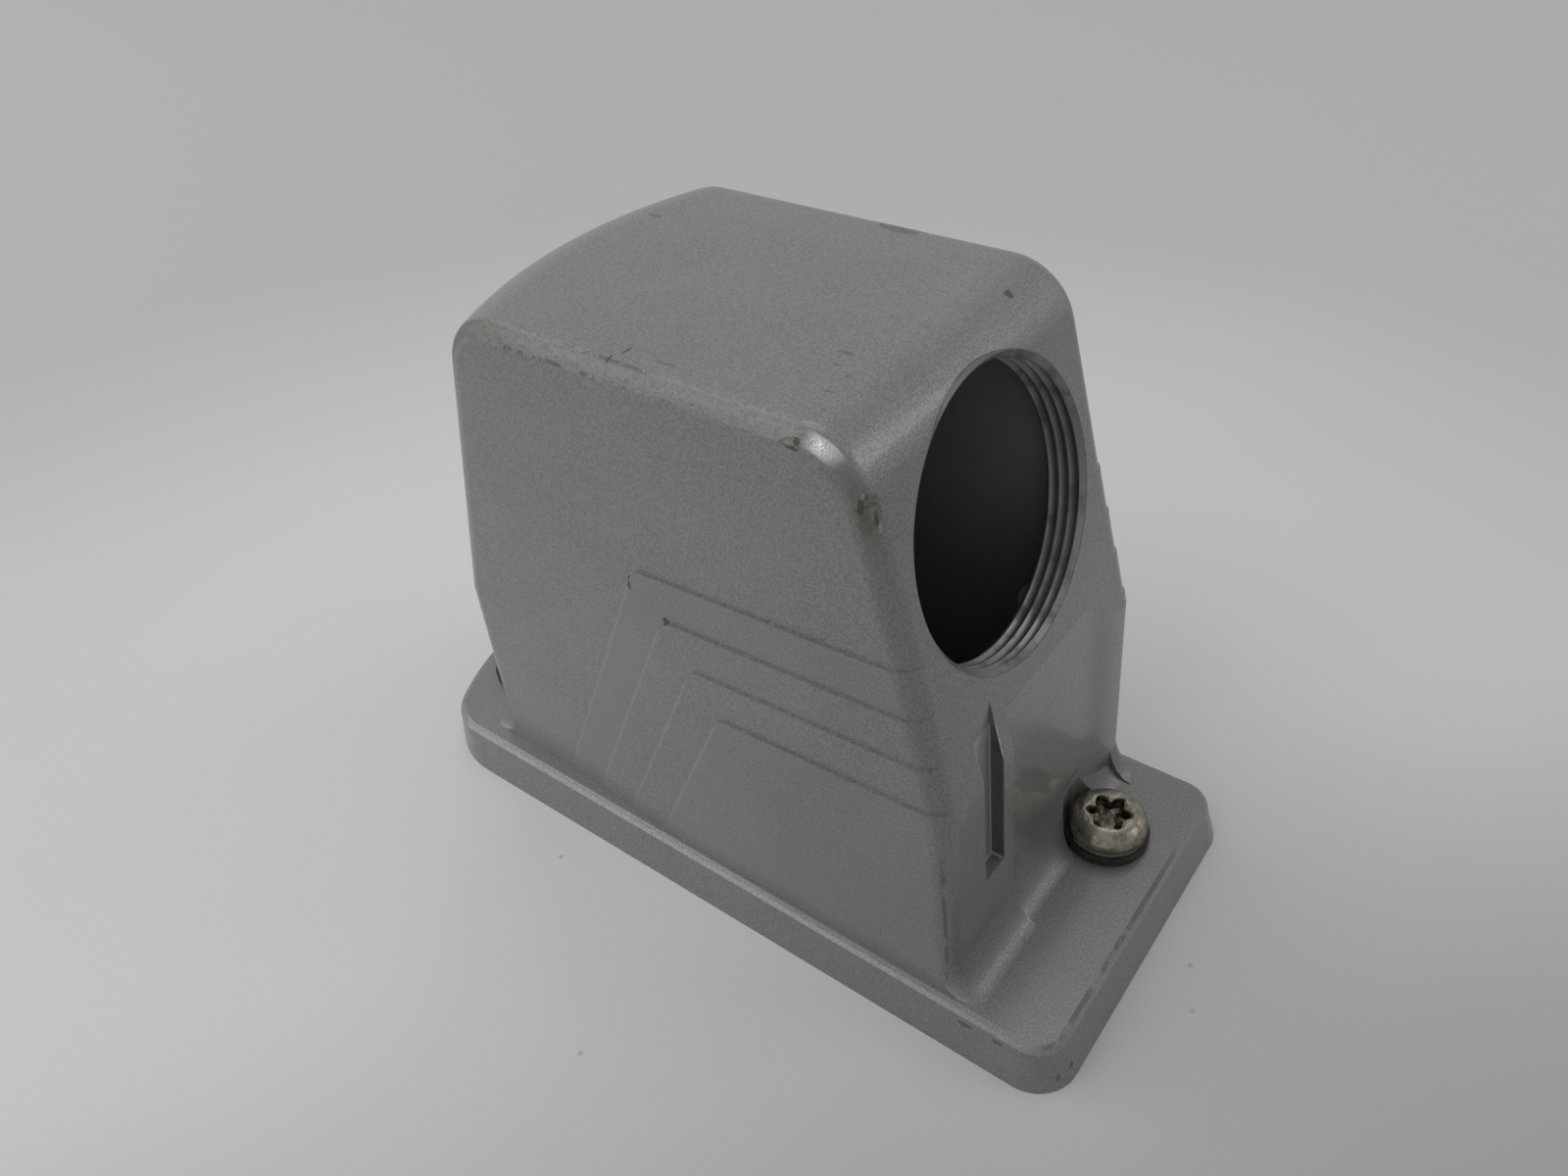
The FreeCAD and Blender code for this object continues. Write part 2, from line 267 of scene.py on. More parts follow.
# Thin broken lines of dirt lie along both borders of the near worn edge, and on the front rim of the flange.
low_border_facing = (0.10, 0.22, 0.30, 0.42)
low_border_along = (0.016, -0.008)
high_border_facing = (-0.20, -0.28, -0.38, -0.50)
high_border_along = (-0.010, -0.004, 0.006, 0.014)
border_height = (0.0880, 0.0890)
border_side = (-0.0200, -0.0210)
border_gaps = (0.46, 0.58)
rim_up = (0.88, 0.93, 0.96, 0.985)
rim_forward = (0.12, 0.18)
rim_along = (0.0600, 0.0605)
rim_side = (0.0180, 0.0080)
rim_gaps = (0.40, 0.56)
low_border = paint.product(paint.band(facing_z, *low_border_facing), paint.ramp(place_x, *low_border_along))
high_border = paint.product(paint.band(facing_y, *high_border_facing),
                            paint.band(place_x, *high_border_along))
border_breaks = paint.ramp(paint.noise(scale=420.0, detail=4.0, roughness=0.65), *border_gaps)
border_dirt = paint.product(paint.largest(low_border, high_border), border_breaks,
                            paint.ramp(place_z, *border_height), paint.ramp(place_y, *border_side))
rim_breaks = paint.ramp(paint.noise(scale=180.0, detail=4.0, roughness=0.6), *rim_gaps)
rim_dirt = paint.product(paint.band(facing_z, *rim_up), paint.ramp(facing_x, *rim_forward),
                         paint.ramp(place_x, *rim_along), paint.ramp(place_y, *rim_side), rim_breaks)

# The slanted rear edges of the raised steps catch the light: painted highlights as thin pale lines.
step_count = 4
step_slant = math.radians(25.5)
first_step_x = -0.0019
first_step_z = 0.0617
step_pitch_x = 0.00415
step_pitch_z = 0.00675
step_side = (0.0236, 0.0240)
step_line_width = (0.00045, 0.00015)
step_line_foot = (0.0090, 0.0130)
step_line_top = (0.004, 0.0005)
step_highlight_share = 0.5
step_edge_highlights = 0.0
for step_index in range(step_count):
    corner_x = first_step_x + step_pitch_x * step_index
    corner_z = first_step_z - step_pitch_z * step_index
    along_x = paint.product(paint.math("SUBTRACT", place_x, corner_x), math.cos(step_slant))
    along_z = paint.product(paint.math("SUBTRACT", place_z, corner_z), math.sin(step_slant))
    off_line = paint.math("ABSOLUTE", paint.math("SUBTRACT", along_x, along_z))
    line_height = paint.band(place_z, *step_line_foot, *(corner_z - drop for drop in step_line_top))
    step_edge_highlight = paint.product(paint.ramp(off_line, *step_line_width), line_height)
    step_edge_highlights = paint.largest(step_edge_highlight, step_edge_highlights)
side_face = paint.ramp(paint.math("ABSOLUTE", place_y), *step_side)
step_edge_highlights = paint.product(step_edge_highlights, side_face, step_highlight_share)

# The near front corner has a thin dark broken line where its rounding starts. Its place is measured forward
# as if the drafted front wall stood upright.
wall_draft = 0.0402
corner_line_place = 0.0471
corner_line_width = (0.0003, 0.0001)
corner_line_side = (-0.0246, -0.0249)
corner_line_height = (0.0085, 0.0120, 0.0330, 0.0370)
corner_line_gaps = (0.32, 0.5)
wall_place = paint.math("ADD", place_x, paint.product(place_z, wall_draft))
corner_off = paint.math("ABSOLUTE", paint.math("SUBTRACT", wall_place, corner_line_place))
corner_breaks = paint.ramp(paint.noise(scale=260.0, detail=3.0), *corner_line_gaps)
corner_line = paint.product(paint.ramp(corner_off, *corner_line_width),
                            paint.ramp(place_y, *corner_line_side),
                            paint.band(place_z, *corner_line_height), corner_breaks)


def spots(places):
    """Mask that joins worn spots given as centre, half size and raggedness."""
    joined = 0.0
    for centre, half_size, raggedness in places:
        mask = paint.placed(worn_spot, Place=paint.place, Centre=centre, Half_Size=half_size,
                            Raggedness=raggedness)
        joined = paint.largest(mask, joined)
    return joined


# Chips and scratches: bright where the metal is bare, dark where they are deep, and brown where dirt has
# settled round them.
bright_chips_and_glint = spots([
    ((0.0348, -0.0235, 0.0856), (0.0003, 0.0003, 0.0010), 0.1),
    ((0.0357, -0.0231, 0.0842), (0.0003, 0.0003, 0.0012), 0.1),
    ((0.0364, -0.0228, 0.0824), (0.0002, 0.0003, 0.0009), 0.1),
    ((0.0262, -0.0245, 0.0906), (0.0007, 0.0004, 0.0002), 0.1),
    # This mark at the nose tip is a painted highlight, not a chip.
    ((0.0466, -0.0220, 0.0408), (0.0004, 0.0004, 0.0004), 0.2),
])
dark_marks = spots([
    ((0.0347, -0.0238, 0.0848), (0.0003, 0.0004, 0.0014), 0.4),
    ((0.0361, -0.0230, 0.0834), (0.0003, 0.0003, 0.0012), 0.4),
    ((0.0352, -0.0234, 0.0862), (0.0003, 0.0004, 0.0006), 0.3),
    ((0.0268, -0.0245, 0.0901), (0.0010, 0.0004, 0.0002), 0.3),
    ((0.0272, -0.0243, 0.0910), (0.0004, 0.0004, 0.0005), 0.3),
    ((0.0029, -0.0250, 0.0551), (0.0005, 0.0008, 0.0006), 0.1),
    ((-0.0030, -0.0250, 0.0593), (0.0004, 0.0008, 0.0011), 0.2),
    ((0.0508, -0.0281, 0.0055), (0.0009, 0.0010, 0.0003), 0.3),
    ((0.0558, -0.0280, 0.0057), (0.0009, 0.0010, 0.0003), 0.3),
    ((0.0454, -0.0120, 0.0437), (0.0008, 0.0005, 0.0009), 0.2),
    ((0.0310, 0.0141, 0.0913), (0.0007, 0.0005, 0.0005), 0.4),
    ((0.0641, -0.0262, 0.0038), (0.0002, 0.0005, 0.0028), 0.15),
    ((0.0650, -0.0236, 0.0026), (0.0005, 0.0006, 0.0006), 0.4),
    ((-0.0009, -0.0225, 0.0922), (0.0002, 0.0008, 0.0004), 0.3),
    ((-0.0001, -0.0203, 0.0924), (0.0002, 0.0009, 0.0004), 0.3),
])
brown_marks = spots([
    ((0.0355, -0.0233, 0.0843), (0.0014, 0.0014, 0.0026), 0.3),
    ((0.0266, -0.0245, 0.0905), (0.0015, 0.0008, 0.0006), 0.3),
    ((0.0105, 0.0222, 0.0922), (0.0032, 0.0014, 0.0012), 0.25),
    ((-0.0227, 0.0105, 0.0924), (0.0012, 0.0005, 0.0006), 0.4),
    ((0.0229, -0.0085, 0.0924), (0.0010, 0.0004, 0.0006), 0.4),
    ((0.0057, -0.0205, 0.0924), (0.0016, 0.0003, 0.0006), 0.35),
    ((0.0236, -0.0112, 0.0924), (0.0005, 0.0002, 0.0004), 0.5),
    ((0.0259, -0.0127, 0.0924), (0.0002, 0.0004, 0.0004), 0.5),
    ((0.0262, -0.0163, 0.0924), (0.0006, 0.0002, 0.0004), 0.5),
])
pore_share_on_edge = 0.35
pore_size = (0.54, 0.62)
pores = paint.ramp(paint.noise(scale=1500.0, detail=4.0, roughness=0.7), *pore_size)
pore_dirt = paint.product(pores, paint.largest(brown_marks, paint.product(near_edge, pore_share_on_edge)))
dirt = paint.largest(pore_dirt, border_dirt, rim_dirt, corner_line)

# In the pocket of the front wall, painted shade darkens the far side wall, the back wall is painted lighter
# where the light falls on it, and its corners carry pale painted highlights.
pocket_depth = (0.0459, 0.0460, 0.0480, 0.0481)
pocket_height = (0.0223, 0.0224, 0.0474, 0.0475)
pocket_side = (-0.0172, -0.0171, -0.0119, -0.0118)
pocket_edge_side = (-0.0125, -0.0122)
pocket_edge_depth = (0.0466, 0.0464)
faces_along = (0.5, 0.6)
in_pocket = paint.product(paint.band(wall_place, *pocket_depth), paint.band(place_z, *pocket_height),
                          paint.band(place_y, *pocket_side))
far_wall_shade = paint.product(in_pocket, paint.ramp(paint.product(facing_y, -1.0), *faces_along))
lit_back_wall = paint.product(in_pocket, paint.ramp(facing_x, *faces_along))
pocket_floor = paint.product(in_pocket, paint.ramp(facing_z, *faces_along))
far_corner = paint.ramp(place_y, *pocket_edge_side)
floor_corner = paint.largest(far_corner, paint.ramp(wall_place, *pocket_edge_depth))
pocket_corner_highlights = paint.largest(paint.product(lit_back_wall, far_corner),
                               paint.product(pocket_floor, floor_corner))

# Painted shade on the inside: everything within the walls gets a dark, dull finish. Each end wall leans in
# with a slope above and a slight draft below, and the rear one is bowed.
entry_slope = math.radians(13.9)
inner_side = (0.0216, 0.0214)
inner_height = (0.0000, 0.0002, 0.0891, 0.0893)
rear_bow = -7.5
inner_soft = 0.0002
inner_ends = ((math.tan(entry_slope), 0.0529, -0.0536), (wall_draft, 0.0442, -0.0450))
shaded_inside = paint.product(paint.ramp(paint.math("ABSOLUTE", place_y), *inner_side),
                       paint.band(place_z, *inner_height))
bowed_x = paint.math("ADD", place_x, paint.product(place_y, place_y, rear_bow))
for lean, front_limit, rear_limit in inner_ends:
    leaned = paint.product(place_z, lean)
    front_place = paint.math("ADD", place_x, leaned)
    rear_place = paint.math("SUBTRACT", bowed_x, leaned)
    shaded_inside = paint.product(shaded_inside, paint.ramp(front_place, front_limit, front_limit - inner_soft),
                           paint.ramp(rear_place, rear_limit, rear_limit + inner_soft))

# What lies over the paint, from the first layer to the last: mask, share and colour.
bright_share = 0.3
# The bare metal of the chips and the painted highlights share one bright colour.
bare_and_glints = paint.largest(paint.product(bright_chips_and_glint, bright_share), polished_glint)
for mask, share, colour in (
        (rubbed, 1.0, (0.168, 0.172, 0.16)),
        (corner_grime, 0.5, (0.1, 0.104, 0.088)),
        (step_edge_highlights, 1.0, (0.32, 0.32, 0.31)),
        (bare_and_glints, 1.0, (0.62, 0.62, 0.6)),
        (brown_marks, 0.55, (0.1, 0.094, 0.075)),
        (dirt, 0.6, (0.06, 0.056, 0.045)),
        (dark_marks, 0.7, (0.045, 0.042, 0.036)),
        (far_wall_shade, 0.6, (0.05, 0.05, 0.044)),
        (lit_back_wall, 0.5, (0.42, 0.42, 0.41)),
        (pocket_corner_highlights, 0.8, (0.75, 0.74, 0.7)),
        (shaded_inside, 1.0, (0.19, 0.195, 0.205))):
    paint_colour = paint.tinted(paint_colour, mask, share, colour)
paint.show("Base Color", paint_colour)

# Painted, rubbed, bare and dull places differ in how metallic and how rough they are.
paint_metallic = 0.5
rubbed_metallic = 0.4
flat_roughness = 0.5
flake_roughness = 0.4
rubbed_roughness = 0.52
bare_roughness = 0.3
dull_roughness = 0.8
dirty_share = 0.5
damage = paint.largest(dark_marks, paint.product(brown_marks, dirty_share), paint.product(dirt, dirty_share))
dull = paint.largest(damage, shaded_inside)
metallic = paint.mixed("FLOAT", rubbed, paint_metallic, rubbed_metallic)
metallic = paint.mixed("FLOAT", bare_and_glints, metallic, 1.0)
paint.show("Metallic", paint.mixed("FLOAT", dull, metallic, 0.0))
roughness = paint.mixed("FLOAT", flakes, flat_roughness, flake_roughness)
roughness = paint.mixed("FLOAT", rubbed, roughness, rubbed_roughness)
roughness = paint.mixed("FLOAT", bare_and_glints, roughness, bare_roughness)
paint.show("Roughness", paint.mixed("FLOAT", dull, roughness, dull_roughness))

# The hollow of the front wall fades out towards its far end in one smooth sweep.
fade_forward = (0.90, 0.92)
fade_sideways = (-0.08, -0.10, -0.25, -0.30)
fade_front = (0.0400, 0.0410)
fade_side = (0.0120, 0.0124, 0.0222, 0.0226)
fade_slope = (0.0130, 0.0170, 0.0180, 0.0220)
on_fade = paint.product(paint.ramp(facing_x, *fade_forward), paint.band(facing_y, *fade_sideways),
                        paint.ramp(place_x, *fade_front), paint.band(place_y, *fade_side))
fade_loss = paint.product(on_fade, paint.math("SUBTRACT", 1.0, paint.band(place_y, *fade_slope)))
smooth_y = paint.product(facing_y, paint.math("SUBTRACT", 1.0, fade_loss))
smooth_facing = paint.combined(facing_x, smooth_y, facing_z)

# The foot under each end wall is a smooth hollow curve, a quarter ellipse 4.6 mm out and 9 mm up.
flange_top = 0.0072
foot_run = 0.0046
foot_rise = 0.0090
foot_facing_up = (0.045, 0.07)
foot_height = (0.00721, 0.00723, 0.0160, 0.0163)
foot_from_middle = (0.0400, 0.0410)
foot_share = paint.math("DIVIDE", paint.math("SUBTRACT", place_z, flange_top), foot_rise, clamp=True)
foot_up = paint.math("SUBTRACT", 1.0, foot_share)
foot_out = paint.math("SQRT", paint.math("SUBTRACT", 1.0, paint.product(foot_up, foot_up), clamp=True))
foot_outward = paint.vector("NORMALIZE", paint.vector("MULTIPLY", paint.facing, (1.0, 1.0, 0.0)))
foot_lean = paint.scaled(foot_outward, paint.product(foot_out, foot_rise / foot_run))
foot_facing = paint.vector("ADD", foot_lean, paint.combined(z=foot_up))
on_foot = paint.product(paint.ramp(facing_z, *foot_facing_up), paint.band(place_z, *foot_height),
                        paint.ramp(paint.math("ABSOLUTE", place_x), *foot_from_middle))
true_facing = paint.vector("NORMALIZE", paint.mixed("VECTOR", on_foot, smooth_facing, foot_facing))
world_facing = paint.node("VectorTransform", vector_type="NORMAL", convert_from="OBJECT", convert_to="WORLD")
paint.feed(world_facing.inputs["Vector"], true_facing)

# The clear lacquer is worn off the rubbed edges and thin on the foot; the inside has none.
lacquer_weight = 0.65
lacquer_roughness = 0.14
foot_loss = 0.75
unlacquered = paint.largest(dull, rubbed, paint.product(on_foot, foot_loss))
paint.show("Coat Weight", paint.mixed("FLOAT", unlacquered, lacquer_weight, 0.0))
paint.show("Coat Roughness", lacquer_roughness)
paint.show("Coat Normal", world_facing.outputs["Vector"])

# The flakes and a faint orange peel stand up from the paint, and damage lies below it.
flake_height = 0.00002
peel_height = 0.00001
damage_height = -0.0001
grain = paint.math("ADD", paint.product(flakes, flake_height),
                   paint.product(paint.noise(scale=700.0, detail=3.0), peel_height))
relief = paint.math("ADD", grain, paint.product(damage, damage_height))
paint.raised(relief, world_facing.outputs["Vector"])

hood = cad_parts["hood"]
hood.data.materials.clear()
hood.data.materials.append(paint.material)


# The cable entry is tapped right through the sloped wall with a fine thread for a cable gland.
# The tapped metal is bare and bright, with a turned lead-in at its mouth.
slope_start_x = 0.0466
slope_start_z = 0.0415
entry_height = 0.0703
thread_pitch = 0.0015
thread_turns = 6
thread_crest = 0.01920
thread_root = 0.01990
thread_back = 0.01998
thread_start = -0.0058
thread_end = -0.0007
crest_end_share = 0.12
root_start_share = 0.5
root_end_share = 0.62
mouth_place = -0.00004
mouth_wall = 0.00012
lead_in_clearance = 0.00005
spin_steps = 144
weld_distance = 0.000002
cut_tolerance = 0.0000001
rim_tolerance = 0.00001
entry_x = slope_start_x - (entry_height - slope_start_z) * math.tan(entry_slope)
entry_centre = Vector((entry_x, 0.0, entry_height))
entry_turn = Matrix.Translation(entry_centre) @ Matrix.Rotation(-entry_slope, 4, "Y")


def finished_object(name, mesh, material, body):
    """Object at the origin from a bmesh, in one material, riding on a body."""
    bmesh.ops.recalc_face_normals(mesh, faces=mesh.faces)
    data = bpy.data.meshes.new(name)
    mesh.to_mesh(data)
    mesh.free()
    made = bpy.data.objects.new(name, data)
    bpy.context.scene.collection.objects.link(made)
    data.materials.append(material)
    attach(made, body)
    return made


def spun(mesh, outline, advance=0.0):
    """Closed outline of (along, out) points spun once round the X axis, moved by advance on the way."""
    corners = [mesh.verts.new((along, 0.0, out)) for along, out in outline]
    loop = [mesh.edges.new((first, second)) for first, second in zip(corners, corners[1:] + corners[:1])]
    bmesh.ops.spin(mesh, geom=corners + loop, cent=(0, 0, 0), axis=(1, 0, 0),
                   dvec=Vector((1, 0, 0)) * advance / spin_steps, angle=2 * math.pi, steps=spin_steps,
                   use_merge=advance == 0.0)
    bmesh.ops.remove_doubles(mesh, verts=mesh.verts, dist=weld_distance)


tapped = Finish("tapped_metal", base=(0.25, 0.25, 0.245), roughness=0.42, metallic=0.8)
tapped_clean = (0.23, 0.23, 0.226)
tapped_dirty = (0.15, 0.15, 0.148)
tapped_spread = (0.45, 0.7)
tapped_roughness = (0.4, 0.6)
tapped_dirt = tapped.ramp(tapped.noise(scale=300.0, detail=4.0, roughness=0.6), *tapped_spread)
tapped.show("Base Color", tapped.mixed("RGBA", tapped_dirt, tapped_clean, tapped_dirty))
tapped.show("Roughness", tapped.mixed("FLOAT", tapped_dirt, *tapped_roughness))

thread_outline = []
thread_low = thread_start - thread_pitch
for turn in range(thread_turns):
    base = thread_low + turn * thread_pitch
    thread_outline.append((base, thread_crest))
    thread_outline.append((base + thread_pitch * crest_end_share, thread_crest))
    thread_outline.append((base + thread_pitch * root_start_share, thread_root))
    thread_outline.append((base + thread_pitch * root_end_share, thread_root))
thread_high = thread_low + thread_turns * thread_pitch
thread_outline += [(thread_high, thread_crest), (thread_high, thread_back), (thread_low, thread_back)]
thread_mesh = bmesh.new()
spun(thread_mesh, thread_outline, -thread_pitch)
for cut, direction in ((thread_start, (-1, 0, 0)), (thread_end, (1, 0, 0))):
    pieces = thread_mesh.verts[:] + thread_mesh.edges[:] + thread_mesh.faces[:]
    bmesh.ops.bisect_plane(thread_mesh, geom=pieces, dist=cut_tolerance, plane_co=(cut, 0, 0),
                           plane_no=direction, clear_outer=True)
    rim = [edge for edge in thread_mesh.edges
           if edge.is_boundary and all(abs(vert.co.x - cut) < rim_tolerance for vert in edge.verts)]
    bmesh.ops.bridge_loops(thread_mesh, edges=rim)
thread_mesh.transform(entry_turn)
cable_thread = finished_object("cable_thread", thread_mesh, tapped.material, "housing")

lead_in_outline = [(mouth_place, thread_back), (mouth_place, thread_back - mouth_wall),
                   (thread_end, thread_crest + lead_in_clearance), (thread_end, thread_back)]
lead_in_mesh = bmesh.new()
spun(lead_in_mesh, lead_in_outline)
lead_in_mesh.transform(entry_turn)
thread_lead_in = finished_object("thread_lead_in", lead_in_mesh, tapped.material, "housing")


# Each locking screw is a plated steel pan-head screw with a six-lobed recess, worn by many turns of the
# driver. Its short thread hangs in the flange hole, and the waisted neck keeps it captive.
ring_height = 0.0013
seat_clearance = 0.00015
head_height = 0.0036
head_low = flange_top + seat_clearance + ring_height + seat_clearance
head_high = head_low + head_height
head_radius = 0.0060
head_corner = 0.00025
crown_radius = 0.0034
crown_rise = 0.0026
crown_steps = 8
recess_depth = 0.0024
lobes = 6
loop_points = 96
recess_floor = head_high - recess_depth
drill_point_radius = 0.0012
drill_point_depth = 0.0004
recess_rings = (
    (0.0020, recess_floor, 0.0003),
    (0.0027, recess_floor + 0.0002, 0.0005),
    (0.00278, head_high - 0.0005, 0.00052),
    (0.0030, head_high - 0.00012, 0.00045),
    (crown_radius + 0.0001, head_high - 0.00001, 0.0002))
neck_radius = 0.00235
thread_top = 0.0027
screw_root = 0.00255
screw_crest = 0.0030
screw_valley = 0.0026
screw_pitch = 0.0005
screw_crest_drop = 0.0002
screw_valley_drop = 0.00045
screw_turns = 4
tip_radius = 0.0025
tip_height = 0.0003
screw_places = {"front": (0.0528, 0.0110, 0.35), "rear": (-0.0518, -0.0110, 1.1)}

steel = Finish("worn_screw_steel", base=(0.42, 0.39, 0.33), roughness=0.3, metallic=1.0)
steel_clean = (0.31, 0.288, 0.238)
steel_grimy = (0.15, 0.132, 0.1)
recess_shade_colour = (0.07, 0.056, 0.04)
pale_scuff_glint = (0.6, 0.57, 0.5)
rim_highlight_pale = (0.55, 0.53, 0.47)
recess_reach = (0.0036, 0.0033)
recess_heights = (0.01215, 0.01190)
recess_rim_reach = (0.0028, 0.0031, 0.0037, 0.0043)
head_rim_heights = (0.00955, 0.00940)
head_rim_reach = (0.0056, 0.0057)
grime_spread = (0.42, 0.68)
recess_shade_spread = (0.42, 0.6, 0.9, 0.2)
rim_scuff_glint_spread = (0.50, 0.60)
rim_scuff_glint_share = 0.7
steel_roughness = (0.22, 0.42)
scratch_height = 0.00002
steel_x, steel_y, steel_z = steel.split(steel.place)
level_place = steel.combined(steel_x, steel_y)
from_axis = steel.math("MINIMUM", *(steel.vector("DISTANCE", level_place, (axis_x, axis_y, 0.0))
                                    for axis_x, axis_y, turned in screw_places.values()))
steel_grime = steel.ramp(steel.noise(scale=650.0, detail=5.0, roughness=0.65), *grime_spread)
in_recess = steel.product(steel.ramp(from_axis, *recess_reach), steel.ramp(steel_z, *recess_heights))
recess_shade_and_scuffs = steel.ramp(steel.noise(scale=900.0, detail=4.0, roughness=0.7), *recess_shade_spread)
rim_scuffs_and_glints = steel.product(
    steel.band(from_axis, *recess_rim_reach),
    steel.ramp(steel.noise(scale=1300.0, detail=3.0, roughness=0.7), *rim_scuff_glint_spread))
head_rim_highlight = steel.product(steel.ramp(steel_z, *head_rim_heights), steel.ramp(from_axis, *head_rim_reach))
# Painted light on the steel: painted shade deep in each recess, painted glints among the pale scuffs round
# its rim, and a painted highlight along the head's lower rim.
steel_colour = steel.mixed("RGBA", steel_grime, steel_clean, steel_grimy)
steel_colour = steel.tinted(steel_colour, in_recess, recess_shade_and_scuffs, recess_shade_colour)
steel_colour = steel.tinted(steel_colour, rim_scuffs_and_glints, rim_scuff_glint_share, pale_scuff_glint)
steel_colour = steel.tinted(steel_colour, head_rim_highlight, 1.0, rim_highlight_pale)
steel.show("Base Color", steel_colour)
steel.show("Roughness", steel.mixed("FLOAT", steel_grime, *steel_roughness))
steel_scratches = steel.noise(scale=2200.0, detail=3.0, roughness=0.7)
steel.raised(steel.product(steel.math("ADD", steel_scratches, steel_grime), scratch_height))


def ring_above(mesh, edges, radius, height, lobe=0.0):
    """Edge loop grown from edges to a ring of this radius and height, with lobes if lobe isn't 0."""
    grown = bmesh.ops.extrude_edge_only(mesh, edges=edges)["geom"]
    for vert in (part for part in grown if isinstance(part, bmesh.types.BMVert)):
        angle = math.atan2(vert.co.y, vert.co.x)
        out = radius + lobe * math.cos(lobes * angle)
        vert.co = Vector((out * math.cos(angle), out * math.sin(angle), height))
    return [part for part in grown if isinstance(part, bmesh.types.BMEdge)]


def screw_rings():
    """Radius, height and lobe of each ring of a screw, from the recess over the head down to the tip."""
    rings = list(recess_rings)
    for step in range(1, crown_steps + 1):
        angle = math.pi / 2 * (1 - step / crown_steps)
        radius = crown_radius + (head_radius - crown_radius) * math.cos(angle)
        rings.append((radius, head_high - crown_rise * (1 - math.sin(angle)), 0.0))
    rings.append((head_radius, head_low + head_corner, 0.0))
    rings.append((head_radius - head_corner, head_low, 0.0))
    rings.append((neck_radius, head_low, 0.0))
    rings.append((neck_radius, thread_top, 0.0))
    rings.append((screw_root, thread_top, 0.0))
    for turn in range(screw_turns):
        height = thread_top - screw_pitch * turn
        rings.append((screw_crest, height - screw_crest_drop, 0.0))
        rings.append((screw_valley, height - screw_valley_drop, 0.0))
    rings.append((tip_radius, tip_height, 0.0))
    return rings


for end, (screw_x, screw_y, turned) in screw_places.items():
    screw_mesh = bmesh.new()
    bmesh.ops.create_circle(screw_mesh, cap_ends=True, radius=drill_point_radius, segments=loop_points)
    bmesh.ops.translate(screw_mesh, verts=screw_mesh.verts, vec=(0, 0, recess_floor - drill_point_depth))
    rim = [edge for edge in screw_mesh.edges if edge.is_boundary]
    for radius, height, lobe in screw_rings():
        rim = ring_above(screw_mesh, rim, radius, height, lobe)
    bmesh.ops.edgeloop_fill(screw_mesh, edges=rim)
    screw_mesh.transform(Matrix.Translation((screw_x, screw_y, 0)) @ Matrix.Rotation(turned, 4, "Z"))
    screw = finished_object(f"{end}_pan_head_screw", screw_mesh, steel.material, f"{end}_locking_screw")
    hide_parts(f"{end}_screw")


# A black rubber ring lies between each screw head and the flange. The profile seal under the flange is the
# same soft black rubber, pressed into its groove.
rubber = Finish("black_rubber", base=(0.018, 0.018, 0.018), roughness=0.62, metallic=0.0)
rubber_clean = (0.014, 0.014, 0.014)
rubber_dusty = (0.045, 0.043, 0.04)
rubber_grain = 0.00004
dust_spread = (0.45, 0.75)
rubber_dust = rubber.ramp(rubber.noise(scale=400.0, detail=4.0, roughness=0.6), *dust_spread)
rubber.show("Base Color", rubber.mixed("RGBA", rubber_dust, rubber_clean, rubber_dusty))
rubber.raised(rubber.product(rubber.noise(scale=1500.0), rubber_grain))
for node_name in ("front_screw_ring", "rear_screw_ring", "profile_seal"):
    rubber_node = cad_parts[node_name]
    rubber_node.data.materials.clear()
    rubber_node.data.materials.append(rubber.material)


# The hood stands on a sheet of white paper under soft light from above and to the left. The paper has a few
# small specks. Painted shade greys it away from a pool of light near the hood, most of all towards one
# corner.
paper = Finish("white_paper", base=(0.5, 0.5, 0.495), roughness=0.9, metallic=0.0)
paper_sheen = 0.2
paper.show("Specular IOR Level", paper_sheen)
paper_size = 3.0
paper_pale = (0.65, 0.65, 0.65)
paper_paler = (0.68, 0.68, 0.677)
paper_fibre = (0.61, 0.61, 0.61)
paper_far_shade = (0.49, 0.49, 0.485)
paper_shade = (0.3, 0.297, 0.293)
paper_spread = (0.25, 0.75)
fibre_share = 0.3
light_pool_centre = (0.024, -0.073, 0.0)
light_pool_falloff = (0.125, 0.334)
shade_direction = (0.8, -0.6)
shade_distance = (0.010, 0.106)
shade_share = 0.77
speck_places = ((-0.0212, -0.0361), (0.0745, -0.0055), (0.0714, 0.0012), (0.0062, -0.0597))
speck_half_size = (0.0004, 0.0004, 0.001)
speck_colour = (0.2, 0.19, 0.17)
speck_share = 0.35
speck_raggedness = 0.3
paper_clouds = paper.ramp(paper.noise(scale=9.0, detail=3.0), *paper_spread)
paper_fibres = paper.ramp(paper.noise(scale=1800.0, detail=2.0, roughness=0.6), *noise_middle)
from_light_pool = paper.vector("DISTANCE", paper.place, light_pool_centre)
paper_x, paper_y = paper.split(paper.place)[:2]
towards_corner = paper.math("ADD", paper.product(paper_x, shade_direction[0]),
                            paper.product(paper_y, shade_direction[1]))
specks = 0.0
for speck_place in speck_places:
    speck = paper.placed(worn_spot, Place=paper.place, Centre=(*speck_place, 0.0), Half_Size=speck_half_size,
                         Raggedness=speck_raggedness)
    specks = paper.largest(speck, specks)
paper_colour = paper.mixed("RGBA", paper_clouds, paper_pale, paper_paler)
paper_colour = paper.tinted(paper_colour, paper_fibres, fibre_share, paper_fibre)
paper_colour = paper.tinted(paper_colour, paper.ramp(from_light_pool, *light_pool_falloff), 1.0, paper_far_shade)
corner_shade = paper.ramp(towards_corner, *shade_distance)
paper_colour = paper.tinted(paper_colour, corner_shade, shade_share, paper_shade)
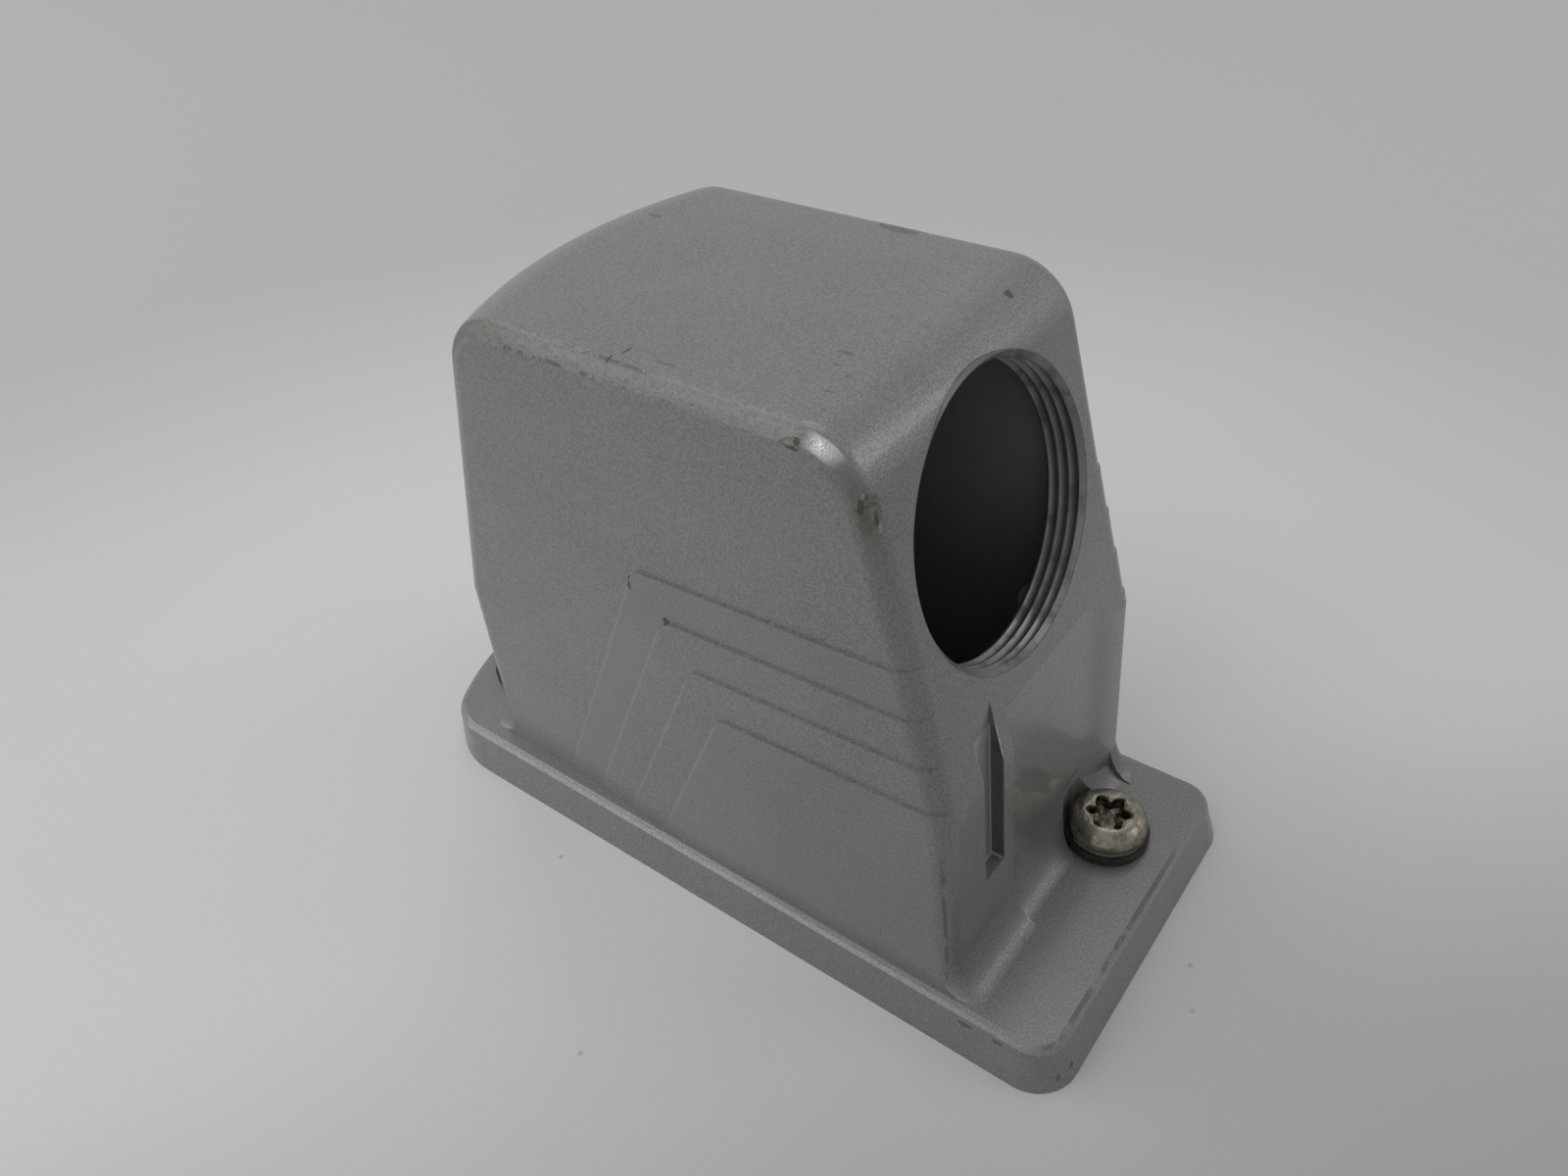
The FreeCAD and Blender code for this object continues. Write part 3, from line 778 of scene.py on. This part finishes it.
paper_colour = paper.tinted(paper_colour, specks, speck_share, speck_colour)
paper.show("Base Color", paper_colour)
floor_mesh = bmesh.new()
bmesh.ops.create_grid(floor_mesh, x_segments=8, y_segments=8, size=paper_size)
floor_data = bpy.data.meshes.new("floor")
floor_mesh.to_mesh(floor_data)
floor_mesh.free()
floor = bpy.data.objects.new("floor", floor_data)
bpy.context.scene.collection.objects.link(floor)
floor_data.materials.append(paper.material)


lamp_target = Vector((0.0, 0.0, 0.03))
room_colour = (0.6, 0.605, 0.61, 1.0)
room_strength = 0.84


def soft_lamp(name, place, size, watts):
    """Square area lamp at place that faces the hood."""
    lamp_data = bpy.data.lights.new(name, "AREA")
    lamp_data.shape = "SQUARE"
    lamp_data.size = size
    lamp_data.energy = watts
    lamp = bpy.data.objects.new(name, lamp_data)
    lamp.location = place
    lamp.rotation_euler = (lamp_target - Vector(place)).to_track_quat("-Z", "Y").to_euler()
    bpy.context.scene.collection.objects.link(lamp)


soft_lamp("window_left", (-1.1, -0.9, 1.15), size=2.2, watts=19.0)
soft_lamp("ceiling", (-0.3, 0.55, 1.35), size=0.6, watts=1.2)
soft_lamp("window_right", (1.0, 0.8, 0.82), size=0.7, watts=2.2)
room = bpy.data.worlds.new("room")
room.use_nodes = True
room_light = room.node_tree.nodes["Background"]
room_light.inputs["Color"].default_value = room_colour
room_light.inputs["Strength"].default_value = room_strength
bpy.context.scene.world = room
bpy.context.scene.view_settings.view_transform = "Standard"

# The camera stands where the photograph was taken from. Its focal length is given in pixels of the
# photograph, which is 1600 pixels wide.
azimuth = math.radians(40.745)
elevation = math.radians(39.835)
roll = math.radians(-6.129)
camera_place = (0.095244, -0.107693, 0.161179)
focal_pixels = 1250.72
photo_width_pixels = 1600.0
sensor_width = 36.0
nearest_view = 0.01
level_reach = math.cos(elevation)
back = Vector((math.sin(azimuth) * level_reach, -math.cos(azimuth) * level_reach, math.sin(elevation)))
right = Vector((math.cos(azimuth), math.sin(azimuth), 0.0))
up = back.cross(right)
camera_right = math.cos(roll) * right + math.sin(roll) * up
camera_up = math.cos(roll) * up - math.sin(roll) * right
camera_data = bpy.data.cameras.new("camera")
camera_data.sensor_width = sensor_width
camera_data.lens = sensor_width * focal_pixels / photo_width_pixels
camera_data.clip_start = nearest_view
camera = bpy.data.objects.new("camera", camera_data)
camera_turn = Matrix((camera_right, camera_up, back)).transposed().to_4x4()
camera.matrix_world = Matrix.Translation(camera_place) @ camera_turn
bpy.context.scene.collection.objects.link(camera)
bpy.context.scene.camera = camera
